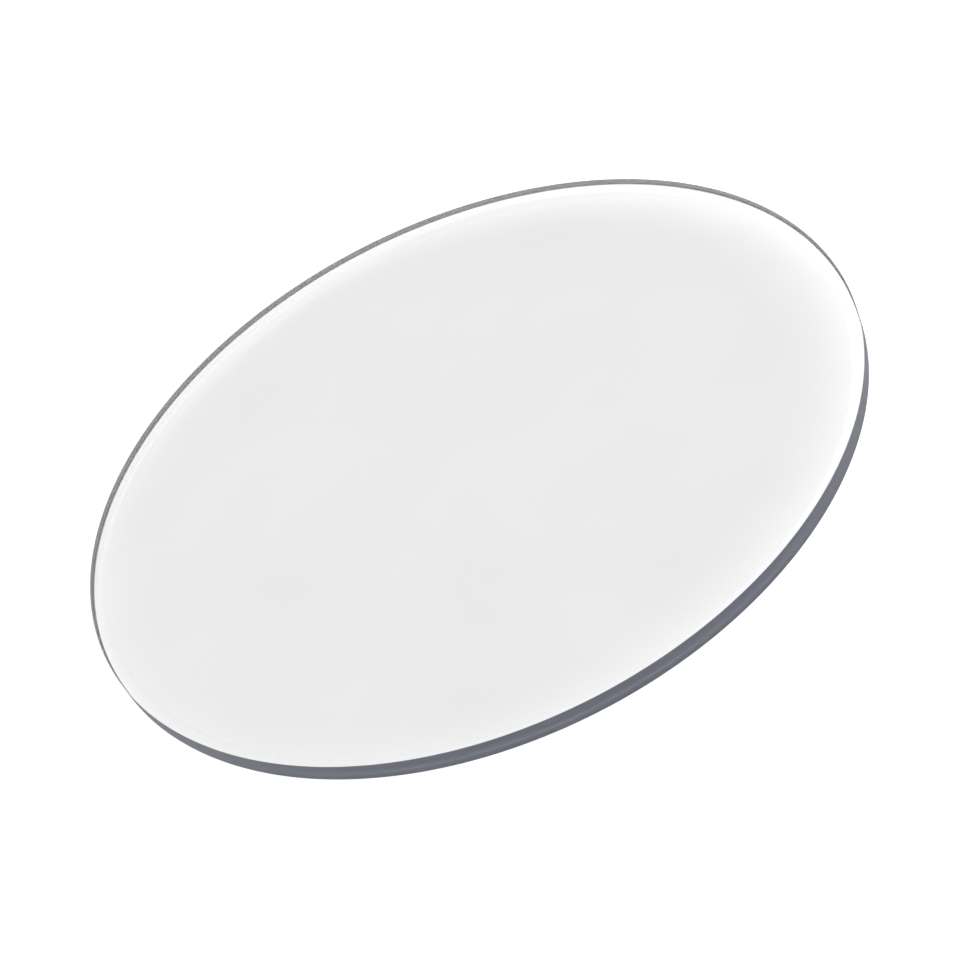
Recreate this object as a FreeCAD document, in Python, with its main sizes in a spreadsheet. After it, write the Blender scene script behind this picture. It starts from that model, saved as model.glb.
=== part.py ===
import FreeCAD, Part
import os
import Sketcher

# A frameless round countertop mirror, in millimetres: a disc of float glass with its silvering,
# paint, edge sealing and safety film, standing on four stick-on bumpers.
#
# Frame: the mirror lies flat with its face up. The origin is on the counter, on the plate's axis,
# +Z points up through the mirror face, and the front of the object is towards -Y.
#
# From the counter upwards, the layers are: bumpers, bumper adhesive, safety film, film adhesive,
# backing paint and silver (with the edge seal beside them), and the glass.

# Each size that can be set by itself: name, value and what it measures.
SIZES = (
    ("plate_diameter", 175.0, "glass, from rim to rim"),
    ("glass_thickness", 4.0, "float glass, from face to face"),
    ("arris_width", 0.15, "45 degree bevel ground on both rims of the glass"),
    ("silver_margin", 3.0, "clear ring from the rim to the silver, where the coats are taken off"),
    ("silver_thickness", 0.02, "silvering, drawn thicker than the real coat"),
    ("paint_thickness", 0.06, "two coats of backing paint"),
    ("film_setback", 1.0, "from the edge of the paint to the edge of the safety film"),
    ("film_adhesive_thickness", 0.07, "adhesive between the paint and the film"),
    ("film_thickness", 0.35, "safety film"),
    ("bumper_diameter", 8.0, "stick-on bumper"),
    ("bumper_height", 1.5, "bumper without its adhesive"),
    ("bumper_round", 0.6, "radius round the bumper's foot"),
    ("bumper_setback", 12.0, "from the rim of the glass to the nearest side of a bumper"),
    ("bumper_adhesive_inset", 0.2, "from the bumper's side to the edge of its adhesive"),
    ("bumper_adhesive_thickness", 0.1, "adhesive disc on a bumper"),
)

# Radii of the stacked discs, each tied to the rim of the glass.
PLATE_RADIUS = "Sizes.plate_diameter / 2"
BACK_FACE_RADIUS = PLATE_RADIUS + " - Sizes.arris_width"
SILVER_RADIUS = PLATE_RADIUS + " - Sizes.silver_margin"
FILM_RADIUS = SILVER_RADIUS + " - Sizes.film_setback"
BUMPER_RADIUS = "Sizes.bumper_diameter / 2"
BUMPER_ADHESIVE_RADIUS = BUMPER_RADIUS + " - Sizes.bumper_adhesive_inset"

# Height of each layer's underside above the counter.
BUMPER_ADHESIVE_LEVEL = "Sizes.bumper_height"
FILM_LEVEL = BUMPER_ADHESIVE_LEVEL + " + Sizes.bumper_adhesive_thickness"
FILM_ADHESIVE_LEVEL = FILM_LEVEL + " + Sizes.film_thickness"
PAINT_LEVEL = FILM_ADHESIVE_LEVEL + " + Sizes.film_adhesive_thickness"
SILVER_LEVEL = PAINT_LEVEL + " + Sizes.paint_thickness"
GLASS_LEVEL = SILVER_LEVEL + " + Sizes.silver_thickness"

# The bumpers stand on the two diagonals, at this distance from the plate's axis.
BUMPER_REACH = f"({PLATE_RADIUS} - Sizes.bumper_setback - {BUMPER_RADIUS})"

# Which way each bumper lies from the plate's axis, along X and along Y.
CORNERS = {
    "front_left": (-1, -1),
    "front_right": (1, -1),
    "back_left": (-1, 1),
    "back_right": (1, 1),
}


def make_sizes(doc):
    """The spreadsheet of driving sizes, one row each: name, value and meaning."""
    sheet = doc.addObject("Spreadsheet::Sheet", "Sizes")
    for row, (name, value, meaning) in enumerate(SIZES, start=1):
        sheet.set(f"A{row}", name)
        sheet.set(f"B{row}", str(value))
        sheet.set(f"C{row}", meaning)
        sheet.setAlias(f"B{row}", name)
    doc.recompute()
    return sheet


def bind(obj, **expressions):
    """Ties properties of an object to the sheet."""
    for name, expression in expressions.items():
        obj.setExpression(name, expression)


def place(obj, x="0", y="0", z="0"):
    """Ties an object's place to the sheet."""
    for axis, expression in (("x", x), ("y", y), ("z", z)):
        obj.setExpression(f"Placement.Base.{axis}", expression)


def new_body(doc, label):
    body = doc.addObject("PartDesign::Body", label)
    body.Label = label
    return body


def new_sketch(body, name):
    """A sketch on the body's own XY plane."""
    sketch = body.newObject("Sketcher::SketchObject", name)
    plane = next(face for face in body.Origin.OriginFeatures if face.Role == "XY_Plane")
    sketch.AttachmentSupport = (plane, [""])
    sketch.MapMode = "FlatFace"
    return sketch


def add_circle(sketch, name, radius):
    """A circle about the sketch's origin, with its radius tied to the sheet."""
    up = FreeCAD.Vector(0, 0, 1)
    circle = sketch.addGeometry(Part.Circle(FreeCAD.Vector(), up, 1.0), False)
    centre_point, origin_curve, origin_point = 3, -1, 1
    sketch.addConstraint(
        Sketcher.Constraint("Coincident", circle, centre_point, origin_curve, origin_point)
    )
    held = sketch.addConstraint(Sketcher.Constraint("Radius", circle, 1.0))
    sketch.renameConstraint(held, name)
    sketch.setExpression(f"Constraints.{name}", radius)


def pad(body, sketch, height):
    """Raises a sketch to a solid along +Z."""
    raised = body.newObject("PartDesign::Pad", "Pad")
    raised.Profile = sketch
    bind(raised, Length=height)
    body.Document.recompute()
    return raised


def make_disc(doc, label, radius, height, level):
    """A plain flat disc about the plate's axis, such as a coat or a film."""
    disc = doc.addObject("Part::Cylinder", label)
    disc.Label = label
    bind(disc, Radius=radius, Height=height)
    place(disc, z=level)
    return disc


def make_glass_plate(doc):
    """The glass disc, with an arris ground on both of its rims."""
    body = new_body(doc, "glass_plate")
    sketch = new_sketch(body, "PlateOutline")
    add_circle(sketch, "rim", PLATE_RADIUS)
    blank = pad(body, sketch, "Sizes.glass_thickness")
    rims = [
        f"Edge{number}"
        for number, edge in enumerate(blank.Shape.Edges, start=1)
        if isinstance(edge.Curve, Part.Circle)
    ]
    arris = body.newObject("PartDesign::Chamfer", "Arris")
    arris.Base = (blank, rims)
    bind(arris, Size="Sizes.arris_width")
    place(body, z=GLASS_LEVEL)
    doc.recompute()
    if not arris.Shape.Volume < blank.Shape.Volume:
        raise RuntimeError("the arris took nothing off the glass")
    return body


def make_edge_seal(doc):
    """The ring of clear lacquer on the margin, which seals the edge of the silver and the paint."""
    body = new_body(doc, "edge_seal")
    sketch = new_sketch(body, "SealRing")
    add_circle(sketch, "outside", BACK_FACE_RADIUS)
    add_circle(sketch, "inside", SILVER_RADIUS)
    pad(body, sketch, "Sizes.silver_thickness + Sizes.paint_thickness")
    place(body, z=PAINT_LEVEL)
    return body


def make_coats(doc):
    """The four plain layers behind the glass, from the glass down."""
    return [
        make_disc(doc, "silver_layer", SILVER_RADIUS, "Sizes.silver_thickness", SILVER_LEVEL),
        make_disc(doc, "backing_paint", SILVER_RADIUS, "Sizes.paint_thickness", PAINT_LEVEL),
        make_disc(
            doc,
            "film_adhesive",
            FILM_RADIUS,
            "Sizes.film_adhesive_thickness",
            FILM_ADHESIVE_LEVEL,
        ),
        make_disc(doc, "safety_film", FILM_RADIUS, "Sizes.film_thickness", FILM_LEVEL),
    ]


def make_bumper(doc, corner, x, y):
    """A round bumper that rests on the counter, with its lower edge rounded."""
    body = new_body(doc, f"bumper_{corner}")
    sketch = new_sketch(body, "BumperOutline")
    add_circle(sketch, "side", BUMPER_RADIUS)
    blank = pad(body, sketch, "Sizes.bumper_height")
    feet = [
        f"Edge{number}"
        for number, edge in enumerate(blank.Shape.Edges, start=1)
        if isinstance(edge.Curve, Part.Circle) and abs(edge.Curve.Center.z) < 1e-6
    ]
    foot = body.newObject("PartDesign::Fillet", "Foot")
    foot.Base = (blank, feet)
    bind(foot, Radius="Sizes.bumper_round")
    place(body, x, y)
    doc.recompute()
    if not foot.Shape.Volume < blank.Shape.Volume:
        raise RuntimeError("the rounding took nothing off the bumper")
    return body


def make_bumpers(doc):
    """The four bumpers, each with the adhesive disc that holds it to the film."""
    pieces = []
    for corner, (across, along) in CORNERS.items():
        x = f"{across} * {BUMPER_REACH} / sqrt(2)"
        y = f"{along} * {BUMPER_REACH} / sqrt(2)"
        pieces.append(make_bumper(doc, corner, x, y))
        adhesive = make_disc(
            doc,
            f"bumper_adhesive_{corner}",
            BUMPER_ADHESIVE_RADIUS,
            "Sizes.bumper_adhesive_thickness",
            BUMPER_ADHESIVE_LEVEL,
        )
        place(adhesive, x, y, BUMPER_ADHESIVE_LEVEL)
        pieces.append(adhesive)
    return pieces


def check(doc, pieces):
    """Stops if a feature failed, or if a piece isn't one sound solid."""
    for obj in doc.Objects:
        faults = {"Invalid", "Error"} & set(obj.State)
        if faults:
            raise RuntimeError(f"{obj.Label} didn't build: {sorted(faults)}")
    for piece in pieces:
        shape = piece.Shape
        if shape.isNull() or not shape.isValid() or len(shape.Solids) != 1:
            raise RuntimeError(f"{piece.Label} isn't one valid solid")


def export(pieces):
    os.makedirs("parts", exist_ok=True)
    for piece in pieces:
        piece.Shape.exportStep(f"parts/{piece.Label}.step")
        box = piece.Shape.BoundBox
        print(f"{piece.Label}: z {box.ZMin:.3f} to {box.ZMax:.3f}, {piece.Shape.Volume:.2f} mm3")


def main():
    doc = FreeCAD.newDocument("CountertopMirror")
    make_sizes(doc)
    pieces = [make_glass_plate(doc)]
    pieces += make_coats(doc)
    pieces.append(make_edge_seal(doc))
    pieces += make_bumpers(doc)
    doc.recompute()
    check(doc, pieces)
    export(pieces)


main()
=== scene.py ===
"""Looks of a frameless round countertop mirror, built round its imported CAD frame.

The frame is in metres, with +Z up and the origin on the counter under the middle of the plate.
Every turned piece here takes its place and its outer size from the CAD node that it stands for.
"""

import logging
import math
from dataclasses import dataclass, field
from enum import Enum

import bmesh
import bpy
from mathutils import Matrix, Vector


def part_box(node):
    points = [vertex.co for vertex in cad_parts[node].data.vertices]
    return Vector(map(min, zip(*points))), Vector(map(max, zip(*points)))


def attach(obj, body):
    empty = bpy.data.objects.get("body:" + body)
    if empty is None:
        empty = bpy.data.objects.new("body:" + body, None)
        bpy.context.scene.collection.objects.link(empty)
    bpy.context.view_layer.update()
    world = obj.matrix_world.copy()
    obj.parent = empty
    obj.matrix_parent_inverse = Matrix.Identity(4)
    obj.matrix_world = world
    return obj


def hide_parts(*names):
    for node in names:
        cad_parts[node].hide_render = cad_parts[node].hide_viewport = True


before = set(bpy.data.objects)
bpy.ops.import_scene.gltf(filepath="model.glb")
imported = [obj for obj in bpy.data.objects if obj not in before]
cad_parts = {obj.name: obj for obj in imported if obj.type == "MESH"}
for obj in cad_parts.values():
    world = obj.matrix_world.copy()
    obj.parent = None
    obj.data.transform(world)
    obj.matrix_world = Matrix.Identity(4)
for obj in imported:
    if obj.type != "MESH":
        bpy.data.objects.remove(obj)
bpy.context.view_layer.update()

LOG = logging.getLogger("countertop_mirror")
MM = 0.001
BODY = "root"

# Noise and waves seldom leave this range, so it is what gets spread over a finish's two ends.
PATTERN_LOW = 0.3
PATTERN_HIGH = 0.7

# A wave texture of scale 1 has a band this often, in metres.
WAVE_BAND = math.pi / 10

# A flat face has one more ring here, in its own radii, so that its triangles stay shorter.
HALFWAY = 0.5

# Where a quarter round's middle lies in from its two sides, in its own radii.
ROUND_MIDDLE = 0.3

# Steps round a small piece, such as a bumper.
SMALL_STEPS = 64

Colour = tuple[float, float, float, float]
Links = dict[str | int, object]


def linear(hex_colour: str) -> Colour:
    """Turns an sRGB colour into the linear one that shaders take.

    Args:
        hex_colour: six hex digits after a hash, such as "#707480".

    Returns:
        Red, green and blue in linear light, and an alpha of 1.
    """
    parts = [int(hex_colour[at:at + 2], 16) / 255 for at in (1, 3, 5)]
    red, green, blue = (
        part / 12.92 if part <= 0.04045 else ((part + 0.055) / 1.055) ** 2.4 for part in parts
    )
    return red, green, blue, 1.0


def add_node(
    tree: bpy.types.NodeTree, kind: str, inputs: Links | None = None, **settings: object
) -> bpy.types.Node:
    """Adds a node to a shader tree, with its settings and links.

    Args:
        tree: the tree that gets the node.
        kind: the node's type, less its "ShaderNode" prefix.
        inputs: for each input's name or number, a plain value or the output that feeds it.
        settings: the node's own properties.

    Returns:
        The new node.
    """
    node = tree.nodes.new("ShaderNode" + kind)
    for name, value in settings.items():
        setattr(node, name, value)
    for name, value in (inputs or {}).items():
        if isinstance(value, bpy.types.NodeSocket):
            tree.links.new(value, node.inputs[name])
        else:
            node.inputs[name].default_value = value
    return node


def new_tree(owner: bpy.types.ID) -> bpy.types.NodeTree:
    """Empties a node tree, ready for new nodes.

    Args:
        owner: the material or the world whose tree it is.

    Returns:
        The empty tree.
    """
    owner.use_nodes = True
    owner.node_tree.nodes.clear()
    return owner.node_tree


def surface_tree(name: str) -> tuple[bpy.types.Material, bpy.types.NodeTree]:
    """Makes a material with an empty node tree and returns both."""
    material = bpy.data.materials.new(name)
    return material, new_tree(material)


def stretched_noise(
    tree: bpy.types.NodeTree, spacing_mm: tuple[float, float, float], detail: float = 2.0
) -> bpy.types.NodeSocket:
    """Noise whose grain has its own size along each axis.

    Args:
        tree: the tree that gets the nodes.
        spacing_mm: the grain's size along X, Y and Z.
        detail: how many finer layers the noise has.

    Returns:
        The noise's value, from 0 to 1.
    """
    place = add_node(tree, "TexCoord").outputs["Object"]
    per_metre = tuple(1 / (MM * spacing) for spacing in spacing_mm)
    grain = add_node(tree, "Mapping", {"Vector": place, "Scale": per_metre})
    noise = add_node(
        tree, "TexNoise", {"Vector": grain.outputs[0], "Scale": 1.0, "Detail": detail}
    )
    return noise.outputs["Fac"]


def between(
    tree: bpy.types.NodeTree, share: bpy.types.NodeSocket, low: float, high: float
) -> bpy.types.NodeSocket:
    """Spreads a pattern over a range of values.

    Args:
        tree: the tree that gets the node.
        share: the pattern.
        low: the value at the pattern's low end.
        high: the value at its high end.

    Returns:
        The spread value.
    """
    spread = add_node(
        tree,
        "MapRange",
        {
            "Value": share,
            "From Min": PATTERN_LOW,
            "From Max": PATTERN_HIGH,
            "To Min": low,
            "To Max": high,
        },
    )
    return spread.outputs["Result"]


def blended(
    tree: bpy.types.NodeTree, share: bpy.types.NodeSocket, first: str, second: str
) -> bpy.types.NodeSocket:
    """Spreads a pattern over the colours between two.

    Args:
        tree: the tree that gets the node.
        share: the pattern.
        first: the sRGB colour at the pattern's low end.
        second: the sRGB colour at its high end.

    Returns:
        The blended colour.
    """
    ramp = add_node(tree, "ValToRGB", {"Fac": share})
    ramp.color_ramp.elements[0].position = PATTERN_LOW
    ramp.color_ramp.elements[0].color = linear(first)
    ramp.color_ramp.elements[1].position = PATTERN_HIGH
    ramp.color_ramp.elements[1].color = linear(second)
    return ramp.outputs["Color"]


def raised(
    tree: bpy.types.NodeTree, pattern: bpy.types.NodeSocket, strength: float, depth_mm: float
) -> bpy.types.NodeSocket:
    """Raises a pattern from the surface.

    Args:
        tree: the tree that gets the node.
        pattern: the pattern.
        strength: how much of the relief shows.
        depth_mm: how high the relief is.

    Returns:
        The surface's normals.
    """
    bump = add_node(
        tree, "Bump", {"Height": pattern, "Strength": strength, "Distance": depth_mm * MM}
    )
    return bump.outputs[0]


def show(tree: bpy.types.NodeTree, shader: bpy.types.Node) -> None:
    """Sends a shader to the material's surface."""
    add_node(tree, "OutputMaterial", {"Surface": shader.outputs[0]})


@dataclass(frozen=True)
class FloatGlass:
    """Clear soda-lime float glass, fire-polished on both faces, with almost no tint.

    Its faces mirror less than real ones do, which keeps ghost images of the rim faint.
    """

    name: str = "clear_float_glass"
    tint: str = "#FDFDFD"
    sheen: str = "#595959"
    ior: float = 1.52

    def build(self) -> bpy.types.Material:
        """Makes the material.

        Returns:
            The material.
        """
        material, tree = surface_tree(self.name)
        shader = add_node(
            tree,
            "BsdfPrincipled",
            {
                "Base Color": linear(self.tint),
                "Roughness": 0.0,
                "Specular Tint": linear(self.sheen),
                "IOR": self.ior,
                "Transmission Weight": 1.0,
            },
        )
        show(tree, shader)
        return material


@dataclass(frozen=True)
class ClearLacquer:
    """Water-clear sealing lacquer, brushed on thin, so that its outer face ripples a little."""

    name: str = "clear_sealing_lacquer"
    tint: str = "#F4F4F4"
    ripple_mm: float = 2.5
    relief: float = 0.15
    relief_mm: float = 0.02
    roughness: tuple[float, float] = (0.02, 0.06)
    ior: float = 1.5

    def build(self) -> bpy.types.Material:
        """Makes the material.

        Returns:
            The material.
        """
        material, tree = surface_tree(self.name)
        ripple = stretched_noise(tree, (self.ripple_mm,) * 3)
        normal = raised(tree, ripple, self.relief, self.relief_mm)
        shader = add_node(
            tree,
            "BsdfPrincipled",
            {
                "Base Color": linear(self.tint),
                "Roughness": between(tree, ripple, *self.roughness),
                "Normal": normal,
                "IOR": self.ior,
                "Transmission Weight": 1.0,
            },
        )
        show(tree, shader)
        return material


@dataclass(frozen=True)
class GroundEdge:
    """Glass ground flat with a diamond wheel: a matt, blue-grey skin that lets some light through.

    The wheel leaves fine marks that run round the rim. Real ones are about 0.05 mm apart, and are
    drawn wider so that they show. On the arris the skin is made almost white: a painted highlight
    where the arris faces the sky.
    """

    name: str = "ground_glass_edge"
    dark: str = "#696D7C"
    light: str = "#727684"
    clear_share: float = 0.48
    clear_tint: str = "#F4F4F2"
    mark_length_mm: float = 14.0
    mark_spacing_mm: float = 0.3
    mark_detail: float = 3.0
    relief: float = 0.25
    relief_mm: float = 0.02
    roughness: tuple[float, float] = (0.42, 0.52)
    ior: float = 1.52

    def build(self) -> bpy.types.Material:
        """Makes the material.

        Returns:
            The material.
        """
        material, tree = surface_tree(self.name)
        spacing = (self.mark_length_mm, self.mark_length_mm, self.mark_spacing_mm)
        marks = stretched_noise(tree, spacing, self.mark_detail)
        normal = raised(tree, marks, self.relief, self.relief_mm)
        skin = add_node(
            tree,
            "BsdfPrincipled",
            {
                "Base Color": blended(tree, marks, self.dark, self.light),
                "Roughness": between(tree, marks, *self.roughness),
                "Specular IOR Level": 0.0,
                "Normal": normal,
                "IOR": self.ior,
            },
        )
        clear = add_node(
            tree,
            "BsdfPrincipled",
            {
                "Base Color": linear(self.clear_tint),
                "Roughness": between(tree, marks, *self.roughness),
                "Normal": normal,
                "IOR": self.ior,
                "Transmission Weight": 1.0,
            },
        )
        both = add_node(
            tree, "MixShader", {0: self.clear_share, 1: skin.outputs[0], 2: clear.outputs[0]}
        )
        show(tree, both)
        return material


@dataclass(frozen=True)
class Silvering:
    """Wet-laid silver on the back of the glass: a full mirror, a little less than white."""

    name: str = "silvering"
    dark: str = "#F3F3F3"
    light: str = "#F6F6F6"
    cloud_mm: float = 35.0

    def build(self) -> bpy.types.Material:
        """Makes the material.

        Returns:
            The material.
        """
        material, tree = surface_tree(self.name)
        clouds = stretched_noise(tree, (self.cloud_mm,) * 3)
        shader = add_node(
            tree,
            "BsdfPrincipled",
            {
                "Base Color": blended(tree, clouds, self.dark, self.light),
                "Metallic": 1.0,
                "Roughness": 0.0,
            },
        )
        show(tree, shader)
        return material


@dataclass(frozen=True)
class Coating:
    """A thin opaque layer laid on wet, such as paint, lacquer or adhesive.

    It dries with a soft ripple, which moves its tone, its gloss and its surface a little.
    """

    name: str
    dark: str
    light: str
    ripple_mm: float
    roughness: tuple[float, float]
    ior: float = 1.5
    ripple_detail: float = 3.0
    relief: float = 0.3
    relief_mm: float = 0.02

    def build(self) -> bpy.types.Material:
        """Makes the material.

        Returns:
            The material.
        """
        material, tree = surface_tree(self.name)
        ripple = stretched_noise(tree, (self.ripple_mm,) * 3, self.ripple_detail)
        normal = raised(tree, ripple, self.relief, self.relief_mm)
        shader = add_node(
            tree,
            "BsdfPrincipled",
            {
                "Base Color": blended(tree, ripple, self.dark, self.light),
                "Roughness": between(tree, ripple, *self.roughness),
                "Normal": normal,
                "IOR": self.ior,
            },
        )
        show(tree, shader)
        return material


@dataclass(frozen=True)
class SafetyFilm:
    """Polyethylene film with a woven scrim inside, which shows as a fine raised grid."""

    name: str = "scrim_safety_film"
    dark: str = "#3D4149"
    light: str = "#4B505A"
    thread_mm: float = 2.0
    haze_mm: float = 9.0
    relief: float = 0.4
    relief_mm: float = 0.08
    roughness: tuple[float, float] = (0.42, 0.58)
    ior: float = 1.5

    def build(self) -> bpy.types.Material:
        """Makes the material.

        Returns:
            The material.
        """
        material, tree = surface_tree(self.name)
        place = add_node(tree, "TexCoord").outputs["Object"]
        threads = []
        for direction in ("X", "Y"):
            wave = add_node(
                tree,
                "TexWave",
                {"Vector": place, "Scale": WAVE_BAND / (self.thread_mm * MM)},
                bands_direction=direction,
            )
            threads.append(wave.outputs["Fac"])
        grid = add_node(tree, "Math", {0: threads[0], 1: threads[1]}, operation="MAXIMUM")
        haze = stretched_noise(tree, (self.haze_mm,) * 3)
        normal = raised(tree, grid.outputs[0], self.relief, self.relief_mm)
        shader = add_node(
            tree,
            "BsdfPrincipled",
            {
                "Base Color": blended(tree, grid.outputs[0], self.dark, self.light),
                "Roughness": between(tree, haze, *self.roughness),
                "Normal": normal,
                "IOR": self.ior,
            },
        )
        show(tree, shader)
        return material


@dataclass(frozen=True)
class BumperRubber:
    """Cast polyurethane: soft, cloudy and half see-through, with a satin skin."""

    name: str = "cast_polyurethane"
    dark: str = "#D5D9DB"
    light: str = "#E6E9EA"
    cloud_mm: float = 1.5
    cloud_detail: float = 4.0
    relief: float = 0.3
    relief_mm: float = 0.03
    roughness: tuple[float, float] = (0.3, 0.45)
    see_through: float = 0.55
    ior: float = 1.5

    def build(self) -> bpy.types.Material:
        """Makes the material.

        Returns:
            The material.
        """
        material, tree = surface_tree(self.name)
        cloud = stretched_noise(tree, (self.cloud_mm,) * 3, self.cloud_detail)
        normal = raised(tree, cloud, self.relief, self.relief_mm)
        shader = add_node(
            tree,
            "BsdfPrincipled",
            {
                "Base Color": blended(tree, cloud, self.dark, self.light),
                "Roughness": between(tree, cloud, *self.roughness),
                "Normal": normal,
                "IOR": self.ior,
                "Transmission Weight": self.see_through,
            },
        )
        show(tree, shader)
        return material


@dataclass(frozen=True)
class LightTable:
    """White acrylic lit from below, so that what stands on it throws almost no shadow.

    Its glow grows evenly from its left to its right, along a line turned a little to the front.
    """

    name: str = "light_table_acrylic"
    colour: str = "#A8A8A8"
    grain: str = "#ABABAB"
    glow: tuple[float, float] = (0.8, 1.05)
    fade: float = 0.18
    fade_turn: float = math.radians(-18.0)
    grain_mm: float = 3.0
    roughness: float = 0.8

    def build(self) -> bpy.types.Material:
        """Makes the material.

        Returns:
            The material.
        """
        material, tree = surface_tree(self.name)
        grain = stretched_noise(tree, (self.grain_mm,) * 3)
        place = add_node(tree, "TexCoord").outputs["Object"]
        line = (math.cos(self.fade_turn), math.sin(self.fade_turn), 0.0)
        across = add_node(tree, "VectorMath", {0: place, 1: line}, operation="DOT_PRODUCT")
        glow = add_node(
            tree,
            "MapRange",
            {
                "Value": across.outputs["Value"],
                "From Min": -self.fade / 2,
                "From Max": self.fade / 2,
                "To Min": self.glow[0],
                "To Max": self.glow[1],
            },
        )
        shader = add_node(
            tree,
            "BsdfPrincipled",
            {
                "Base Color": blended(tree, grain, self.colour, self.grain),
                "Roughness": self.roughness,
                "Specular IOR Level": 0.0,
                "Emission Color": (1.0, 1.0, 1.0, 1.0),
                "Emission Strength": glow.outputs["Result"],
            },
        )
        show(tree, shader)
        return material


class Finish(Enum):
    """The finishes that the pieces of the mirror are given."""

    GLASS = FloatGlass()
    EDGE = GroundEdge()
    # The arris's near-white skin is a painted highlight of the sky light that the arris catches.
    ARRIS = GroundEdge("painted_highlight_arris", "#F6F7F9", "#FFFFFF", clear_share=0.1)
    SILVER = Silvering()
    PAINT = Coating(
        "mirror_backing_paint", "#555A63", "#5D626B", ripple_mm=1.2, roughness=(0.5, 0.62)
    )
    SEAL = ClearLacquer()
    ADHESIVE = Coating(
        "acrylic_adhesive", "#CFCFCA", "#D8D8D4", ripple_mm=1.8, roughness=(0.2, 0.3), ior=1.47
    )
    FILM = SafetyFilm()
    BUMPER = BumperRubber()

    def material(self) -> bpy.types.Material:
        """Returns the finish's material, made the first time that it's asked for."""
        return bpy.data.materials.get(self.value.name) or self.value.build()


@dataclass(frozen=True)
class Ring:
    """One ring of a turned profile, in metres.

    The band from this ring to the next has finish number `finish`, and `sharp` puts a hard edge
    round the ring.
    """

    radius: float
    height: float
    sharp: bool = False
    finish: int = 0


@dataclass
class TurnedPiece:
    """A round piece, turned from a profile about an upright axis.

    Attributes:
        name: the piece's name.
        rings: the profile, from one end to the other, counter-clockwise seen with +X to the right.
        finishes: the finishes that the rings number.
        centre: where the axis stands.
        segments: how many steps go round the piece.
        closed: joins the last ring to the first, for a piece with a hole in it.
    """

    name: str
    rings: list[Ring]
    finishes: list[Finish]
    centre: tuple[float, float] = (0.0, 0.0)
    segments: int = 256
    closed: bool = False

    def build(self) -> bpy.types.Object:
        """Turns the profile to a mesh and dresses it.

        Returns:
            The object, with its vertices in the row frame.
        """
        shape = bmesh.new()
        loops = [self.ring_points(shape, ring) for ring in self.rings]
        pairs = list(zip(self.rings, loops, self.rings[1:], loops[1:]))
        if self.closed:
            pairs.append((self.rings[-1], loops[-1], self.rings[0], loops[0]))
        for ring, inner, _, outer in pairs:
            self.band(shape, inner, outer, ring.finish)
        for ring, loop in zip(self.rings, loops):
            if ring.sharp:
                self.harden(loop)
        bmesh.ops.recalc_face_normals(shape, faces=shape.faces)
        mesh = bpy.data.meshes.new(self.name)
        shape.to_mesh(mesh)
        shape.free()
        for finish in self.finishes:
            mesh.materials.append(finish.material())
        piece = bpy.data.objects.new(self.name, mesh)
        bpy.context.scene.collection.objects.link(piece)
        return piece

    def ring_points(self, shape: bmesh.types.BMesh, ring: Ring) -> list[bmesh.types.BMVert]:
        """Adds a ring's points to the mesh.

        Args:
            shape: the mesh that gets the points.
            ring: the ring, which is one point if it lies on the axis.

        Returns:
            The points, in order round the axis.
        """
        x, y = self.centre
        if ring.radius == 0:
            return [shape.verts.new((x, y, ring.height))]
        turns = (math.tau * step / self.segments for step in range(self.segments))
        return [
            shape.verts.new(
                (x + ring.radius * math.cos(turn), y + ring.radius * math.sin(turn), ring.height)
            )
            for turn in turns
        ]

    def band(
        self,
        shape: bmesh.types.BMesh,
        first: list[bmesh.types.BMVert],
        second: list[bmesh.types.BMVert],
        finish: int,
    ) -> None:
        """Fills the band between two rings, either of which may be a point on the axis.

        Args:
            shape: the mesh that gets the faces.
            first: the points of one ring.
            second: the points of the other.
            finish: the number of the band's finish.
        """
        for step in range(self.segments):
            after = (step + 1) % self.segments
            corners = [first[step % len(first)], first[after % len(first)]]
            corners += [second[after % len(second)], second[step % len(second)]]
            face = shape.faces.new(list(dict.fromkeys(corners)))
            face.smooth = True
            face.material_index = finish

    def harden(self, loop: list[bmesh.types.BMVert]) -> None:
        """Puts a hard edge all round one ring.

        Args:
            loop: the ring's points.
        """
        ring = set(loop)
        for vert in loop:
            for edge in vert.link_edges:
                if edge.other_vert(vert) in ring:
                    edge.smooth = False


def fit(piece: bpy.types.Object, node: str) -> bpy.types.Object:
    """Lets a piece stand for a CAD node, which it hides, and ride on the node's body.

    Args:
        piece: the finished piece.
        node: the CAD node that it stands for.

    Returns:
        The same piece.
    """
    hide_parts(node)
    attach(piece, BODY)
    LOG.info("%s stands for %s, with %d faces", piece.name, node, len(piece.data.polygons))
    return piece


def extent(node: str) -> tuple[tuple[float, float], float, float, float]:
    """Where a round CAD node lies.

    Args:
        node: the node's name.

    Returns:
        Its centre in plan, its radius, and the heights of its underside and its top.
    """
    low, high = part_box(node)
    centre = ((low.x + high.x) / 2, (low.y + high.y) / 2)
    return centre, max(high.x - low.x, high.y - low.y) / 2, low.z, high.z


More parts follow.
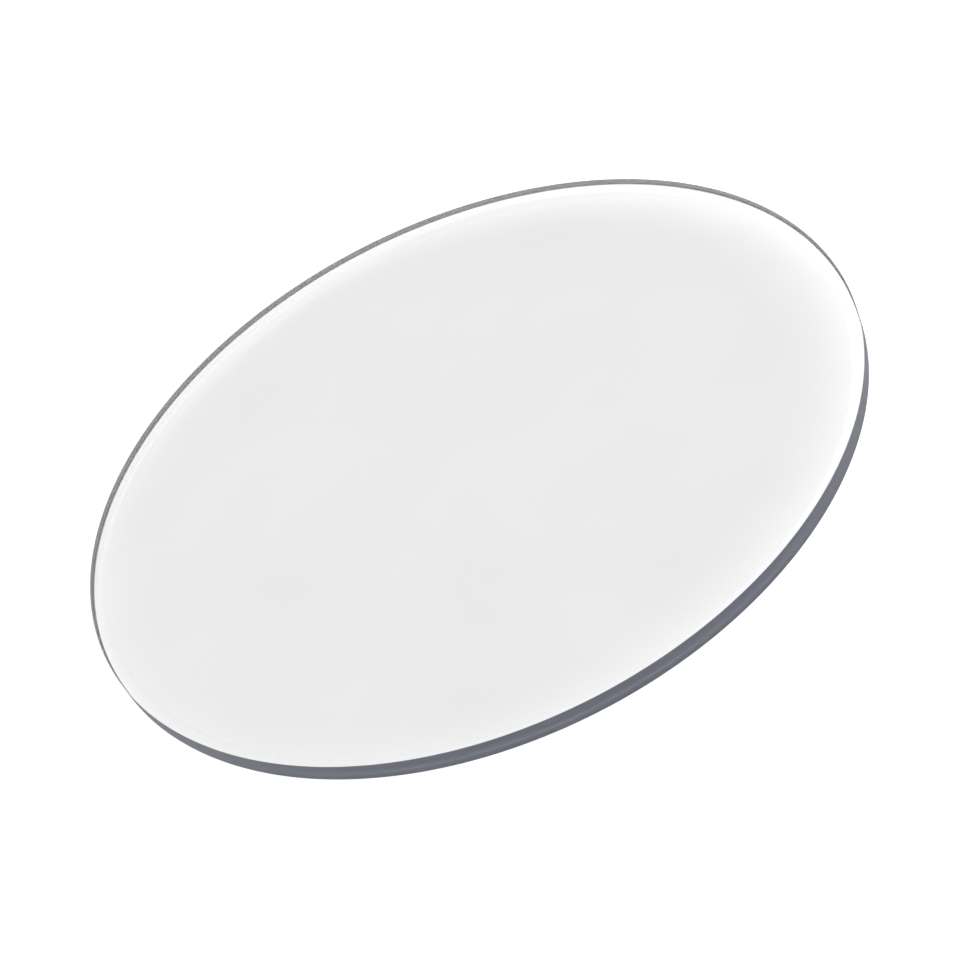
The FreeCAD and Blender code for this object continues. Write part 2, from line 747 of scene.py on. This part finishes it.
@dataclass
class GlassPlate:
    """The disc of float glass, with its ground wall between two arrises.

    The upper arris has a steep facet, ground like the wall, and a shallow one painted almost white,
    a painted highlight where it faces the sky.

    Attributes:
        arris: the bevel's width.
        corner_share: how far inside the arris each flat face has its last ring, in arris widths.
        facet_in: how far in from the rim the upper arris's two facets meet, in arris widths.
        facet_down: how far below the face they meet, in arris widths.
    """

    arris: float = 0.15 * MM
    corner_share: float = 0.2
    facet_in: float = 0.4
    facet_down: float = 0.33

    def build(self) -> list[bpy.types.Object]:
        """Turns the plate.

        Returns:
            The plate, alone in a list.
        """
        _, radius, bottom, top = extent("glass_plate")
        ease = self.arris * self.corner_share
        clear, ground, highlight_facet = 0, 1, 2
        flat = radius - self.arris
        rings = [
            Ring(0, bottom, finish=clear),
            Ring(flat * HALFWAY, bottom, finish=clear),
            Ring(flat - ease, bottom, finish=clear),
            Ring(flat, bottom, True, ground),
            Ring(radius, bottom + self.arris, True, ground),
            Ring(radius, top - self.arris, True, ground),
            # The shallow facet of the upper arris gets the near-white finish, a painted highlight.
            Ring(
                radius - self.arris * self.facet_in,
                top - self.arris * self.facet_down,
                True,
                highlight_facet,
            ),
            Ring(flat, top, True, clear),
            Ring(flat - ease, top, finish=clear),
            Ring(flat * HALFWAY, top, finish=clear),
            Ring(0, top),
        ]
        finishes = [Finish.GLASS, Finish.EDGE, Finish.ARRIS]
        piece = TurnedPiece("glass_disc", rings, finishes).build()
        return [fit(piece, "glass_plate")]


@dataclass
class MirrorBacking:
    """The silver, the paint over it and the lacquer that seals their edge.

    The silver and the lacquer wet the glass, so their faces stand a hair inside it and no air shows
    between them.

    Attributes:
        lacquer_crown: how far the lacquer has thinned at its shoulder, in its own thickness.
        lacquer_flat: where it starts to thin, as a share of the ring's width.
        lacquer_shoulder: where it bends over, as a share of the ring's width.
        lacquer_lip: how far it has thinned at the rim, in crowns.
        wetting: how far the silver and the lacquer stand inside the glass.
        paint_undercut: how far the paint stops short of the silver's edge.
    """

    lacquer_crown: float = 0.15
    lacquer_flat: float = 0.7
    lacquer_shoulder: float = 0.92
    lacquer_lip: float = 2.5
    wetting: float = 0.03 * MM
    paint_undercut: float = 0.12 * MM

    def build(self) -> list[bpy.types.Object]:
        """Turns the coats.

        Returns:
            The silver, the paint and the sealing ring.
        """
        return [
            self.disc("silvering_disc", "silver_layer", Finish.SILVER, lift=self.wetting),
            self.disc(
                "backing_paint_disc",
                "backing_paint",
                Finish.PAINT,
                undercut=self.paint_undercut,
            ),
            self.sealing_ring(),
        ]

    def disc(
        self,
        name: str,
        node: str,
        finish: Finish,
        lift: float = 0.0,
        undercut: float = 0.0,
    ) -> bpy.types.Object:
        """Turns a flat coat for a CAD node.

        Args:
            name: the piece's name.
            node: the CAD node that gives its extent.
            finish: its finish.
            lift: how far its face stands above the node's.
            undercut: how far its edge stands inside the node's.

        Returns:
            The coat.
        """
        _, radius, bottom, top = extent(node)
        top += lift
        radius -= undercut
        rings = [
            Ring(0, bottom),
            Ring(radius * HALFWAY, bottom),
            Ring(radius, bottom, True),
            Ring(radius, top, True),
            Ring(radius * HALFWAY, top),
            Ring(0, top),
        ]
        return fit(TurnedPiece(name, rings, [finish]).build(), node)

    def sealing_ring(self) -> bpy.types.Object:
        """Turns the lacquer ring, which thins towards the rim where the brush runs off.

        Returns:
            The ring.
        """
        _, outside, bottom, top = extent("edge_seal")
        _, inside, _, _ = extent("silver_layer")
        top += self.wetting
        drop = (top - bottom) * self.lacquer_crown
        width = outside - inside
        rings = [
            Ring(inside, bottom, True),
            Ring(inside + self.lacquer_flat * width, bottom),
            Ring(inside + self.lacquer_shoulder * width, bottom + drop),
            Ring(outside, bottom + self.lacquer_lip * drop),
            Ring(outside, top, True),
            Ring(inside, top, True),
        ]
        piece = TurnedPiece("sealing_ring", rings, [Finish.SEAL], closed=True).build()
        return fit(piece, "edge_seal")


@dataclass
class SafetyBacking:
    """The safety film and the adhesive that holds it to the paint.

    Attributes:
        cut_round: how far the knife has rounded the lower edge.
        thin_share: the most that the rounding takes, in the layer's own thickness.
    """

    cut_round: float = 0.05 * MM
    thin_share: float = 1 / 3

    def build(self) -> list[bpy.types.Object]:
        """Turns the two discs.

        Returns:
            The adhesive and the film.
        """
        pieces = []
        for name, node, finish in (
            ("film_adhesive_disc", "film_adhesive", Finish.ADHESIVE),
            ("safety_film_disc", "safety_film", Finish.FILM),
        ):
            _, radius, bottom, top = extent(node)
            ease = min(self.cut_round, (top - bottom) * self.thin_share)
            rings = [
                Ring(0, bottom),
                Ring(radius * HALFWAY, bottom),
                Ring(radius - ease, bottom, True),
                Ring(radius, bottom + ease),
                Ring(radius, top, True),
                Ring(radius * HALFWAY, top),
                Ring(0, top),
            ]
            piece = TurnedPiece(name, rings, [finish]).build()
            pieces.append(fit(piece, node))
        return pieces


@dataclass
class Bumper:
    """One stick-on bumper and its adhesive disc.

    Attributes:
        corner: which corner it stands at, as its CAD node names it.
        foot_round: the radius round its foot.
        foot_steps: how many steps the foot's round has.
        top_round: the radius round its top.
        glue_round: the bevel of the adhesive disc's edges, in the disc's own thickness.
    """

    corner: str
    foot_round: float = 0.6 * MM
    foot_steps: int = 8
    top_round: float = 0.12 * MM
    glue_round: float = 0.25

    def build(self) -> list[bpy.types.Object]:
        """Turns the bumper and its adhesive and returns them."""
        return [self.rubber(), self.adhesive()]

    def rubber(self) -> bpy.types.Object:
        """Turns the rubber, with a round foot and a soft moulded edge at its top.

        Returns:
            The rubber pad.
        """
        node = f"bumper_{self.corner}"
        centre, radius, bottom, top = extent(node)
        rings = [Ring(0, bottom)]
        for step in range(self.foot_steps + 1):
            turn = math.pi / 2 * step / self.foot_steps
            rings.append(
                Ring(
                    radius - self.foot_round * (1 - math.sin(turn)),
                    bottom + self.foot_round * (1 - math.cos(turn)),
                )
            )
        rings += [
            Ring(radius, top - self.top_round),
            Ring(radius - self.top_round * ROUND_MIDDLE, top - self.top_round * ROUND_MIDDLE),
            Ring(radius - self.top_round, top),
            Ring(0, top),
        ]
        name = f"rubber_pad_{self.corner}"
        piece = TurnedPiece(name, rings, [Finish.BUMPER], centre, SMALL_STEPS)
        return fit(piece.build(), node)

    def adhesive(self) -> bpy.types.Object:
        """Turns the adhesive disc between the rubber and the film.

        Returns:
            The disc.
        """
        node = f"bumper_adhesive_{self.corner}"
        centre, radius, bottom, top = extent(node)
        ease = (top - bottom) * self.glue_round
        rings = [
            Ring(0, bottom),
            Ring(radius - ease, bottom),
            Ring(radius, bottom + ease),
            Ring(radius, top - ease),
            Ring(radius - ease, top),
            Ring(0, top),
        ]
        name = f"glue_spot_{self.corner}"
        piece = TurnedPiece(name, rings, [Finish.ADHESIVE], centre, SMALL_STEPS)
        return fit(piece.build(), node)


def square_sheet(name: str, half: float, material: bpy.types.Material) -> bpy.types.Object:
    """Makes a level square sheet for the studio, about its own origin.

    Args:
        name: the sheet's name.
        half: half its width.
        material: what it's made of.

    Returns:
        The sheet.
    """
    mesh = bpy.data.meshes.new(name)
    corners = [(-half, -half, 0), (half, -half, 0), (half, half, 0), (-half, half, 0)]
    mesh.from_pydata(corners, [], [(0, 1, 2, 3)])
    mesh.materials.append(material)
    sheet = bpy.data.objects.new(name, mesh)
    bpy.context.scene.collection.objects.link(sheet)
    return sheet


@dataclass
class ViewPoint:
    """The camera: where it stands from the middle of the mirror's face, and how it's held.

    Attributes:
        field_of_view: how wide it sees.
        elevation: how steeply it looks down.
        roll: how far it's turned about its line of sight.
        distance: how far it stands off, in radii of the plate.
        right: how far right of the line of sight the mirror's middle lies, in radii of the plate.
        up: how far above the line of sight it lies, in radii of the plate.
        sensor_mm: the sensor's width.
        near: how close to the camera its sight begins.
    """

    field_of_view: float = math.radians(30.0)
    elevation: float = math.radians(38.48)
    roll: float = math.radians(-27.1)
    distance: float = 4.38
    right: float = -0.0575
    up: float = 0.1161
    sensor_mm: float = 36.0
    near: float = 10.0 * MM

    def build(self, face: Vector, radius: float) -> bpy.types.Object:
        """Makes the camera and looks through it.

        Args:
            face: the middle of the mirror's face.
            radius: the plate's radius.

        Returns:
            The camera.
        """
        back = Vector((0, -math.cos(self.elevation), math.sin(self.elevation)))
        level = Vector((1, 0, 0))
        steep = back.cross(level)
        right = math.cos(self.roll) * level + math.sin(self.roll) * steep
        up = back.cross(right)
        turned = Matrix((right, up, back)).transposed()
        lens = bpy.data.cameras.new("camera")
        lens.sensor_width = self.sensor_mm
        lens.angle = self.field_of_view
        lens.clip_start = self.near
        camera = bpy.data.objects.new("camera", lens)
        aim = face - radius * (self.right * right + self.up * up)
        place = aim + radius * self.distance * back
        camera.matrix_world = Matrix.Translation(place) @ turned.to_4x4()
        bpy.context.scene.collection.objects.link(camera)
        bpy.context.scene.camera = camera
        return camera


@dataclass
class Halo:
    """A large soft ring of light, hung where the mirror shows its inner edge to the camera.

    Apart from the height, its lengths are in radii of the plate, as the mirror shows them.

    Attributes:
        name: the lamp's name.
        height: how far it hangs above the mirror's face, in metres.
        middle: where the ring's middle shows in the mirror.
        reach: how far out its light ends.
        inner_edge: how far out its light begins.
        bright: how far out it is brightest.
        strength: how bright it is there.
        sharpness: the power by which its light rises from the inner edge.
    """

    name: str = "halo_lamp"
    height: float = 0.9
    middle: tuple[float, float] = (-0.046, -0.033)
    reach: float = 1.6
    inner_edge: float = 0.81
    bright: float = 1.2
    strength: float = 0.93
    sharpness: float = 2.37

    def build(self, face: Vector, radius: float, eye: Vector) -> bpy.types.Object:
        """Hangs the lamp.

        Args:
            face: the middle of the mirror's face.
            radius: the plate's radius.
            eye: where the camera stands.

        Returns:
            The lamp's sheet.
        """
        spread = 1 + self.height / (eye.z - face.z)
        middle = Vector((self.middle[0] * radius, self.middle[1] * radius, 0)) + face
        place = eye + spread * (middle - eye)
        place.z = face.z + self.height
        unit = spread * radius
        lamp = square_sheet(self.name, self.reach * unit, self.glow(unit))
        lamp.location = place
        lamp.visible_camera = False
        return lamp

    def glow(self, unit: float) -> bpy.types.Material:
        """Makes the lamp's material: clear in the middle, bright round it and clear again outside.

        Args:
            unit: the length on the sheet that stands for one radius of the plate.

        Returns:
            The material.
        """
        material, tree = surface_tree(f"{self.name}_glow")
        place = add_node(tree, "TexCoord").outputs["Object"]
        away = add_node(tree, "VectorMath", {0: place}, operation="LENGTH").outputs["Value"]
        ramp = add_node(
            tree,
            "MapRange",
            {
                "Value": away,
                "From Min": self.inner_edge * unit,
                "From Max": self.bright * unit,
                "To Min": 0.0,
                "To Max": 1.0,
            },
        )
        rise = add_node(
            tree, "Math", {0: ramp.outputs["Result"], 1: self.sharpness}, operation="POWER"
        )
        fall = add_node(
            tree,
            "MapRange",
            {
                "Value": away,
                "From Min": self.bright * unit,
                "From Max": self.reach * unit,
                "To Min": self.strength,
                "To Max": 0.0,
            },
            interpolation_type="SMOOTHSTEP",
        )
        level = add_node(
            tree, "Math", {0: rise.outputs[0], 1: fall.outputs["Result"]}, operation="MULTIPLY"
        )
        light = add_node(tree, "Emission", {"Strength": level.outputs[0]})
        clear = add_node(tree, "BsdfTransparent")
        both = add_node(tree, "AddShader", {0: light.outputs[0], 1: clear.outputs[0]})
        show(tree, both)
        return material


@dataclass
class Studio:
    """The plain bright studio round the mirror: its light table, its lamps, its sky and its camera.

    Attributes:
        table_width: the light table's width, in metres.
        horizon: the sky's brightness at the horizon.
        low_sky: its brightness over the low band.
        low_band: the sines of the heights where the low band begins and ends.
        zenith: its brightness overhead.
        view_point: the camera.
        halo: the lamp that the face shows all round its rim.
        back_light: the lamp that it shows along its far rim only.
    """

    table_width: float = 8.0
    horizon: float = 1.02
    low_sky: float = 0.93
    low_band: tuple[float, float] = (0.5, 0.76)
    zenith: float = 0.8
    view_point: ViewPoint = field(default_factory=ViewPoint)
    halo: Halo = field(default_factory=Halo)
    back_light: Halo = field(
        default_factory=lambda: Halo(
            name="back_light",
            height=0.92,
            middle=(0.103, -0.282),
            reach=2.0,
            inner_edge=1.185,
            bright=1.585,
            strength=0.75,
            sharpness=1.15,
        )
    )

    def build(self) -> None:
        """Sets the whole studio up."""
        _, radius, _, top = extent("glass_plate")
        face = Vector((0, 0, top))
        camera = self.view_point.build(face, radius)
        for lamp in (self.halo, self.back_light):
            lamp.build(face, radius, camera.matrix_world.translation)
        self.light_table()
        self.sky()
        bpy.context.scene.view_settings.view_transform = "Standard"
        LOG.info("studio is set up, with the camera at %s", tuple(camera.location))

    def light_table(self) -> None:
        """Lays the light table that the mirror stands on."""
        square_sheet("light_table", self.table_width / 2, LightTable().build())

    def sky(self) -> None:
        """Surrounds the studio with soft white light, brightest low down."""
        world = bpy.data.worlds.new("studio")
        bpy.context.scene.world = world
        tree = new_tree(world)
        direction = add_node(tree, "TexCoord").outputs["Generated"]
        height = add_node(tree, "SeparateXYZ", {"Vector": direction}).outputs["Z"]
        ramp = add_node(tree, "ValToRGB", {"Fac": height})
        ramp.color_ramp.elements[0].color = (self.horizon,) * 3 + (1.0,)
        ramp.color_ramp.elements[1].color = (self.zenith,) * 3 + (1.0,)
        for sine in self.low_band:
            stop = ramp.color_ramp.elements.new(sine)
            stop.color = (self.low_sky,) * 3 + (1.0,)
        light = add_node(tree, "Background", {"Color": ramp.outputs["Color"], "Strength": 1.0})
        add_node(tree, "OutputWorld", {"Surface": light.outputs[0]})


def main() -> None:
    """Builds the mirror's pieces and the studio, and reports each piece."""
    logging.basicConfig(level=logging.INFO, format="%(name)s: %(message)s")
    corners = ("front_left", "front_right", "back_left", "back_right")
    makers = [GlassPlate(), MirrorBacking(), SafetyBacking()]
    makers += [Bumper(corner) for corner in corners]
    for maker in makers:
        pieces = maker.build()
        LOG.info("%s made %s", type(maker).__name__, ", ".join(piece.name for piece in pieces))
    Studio().build()


if __name__ == "__main__":
    main()
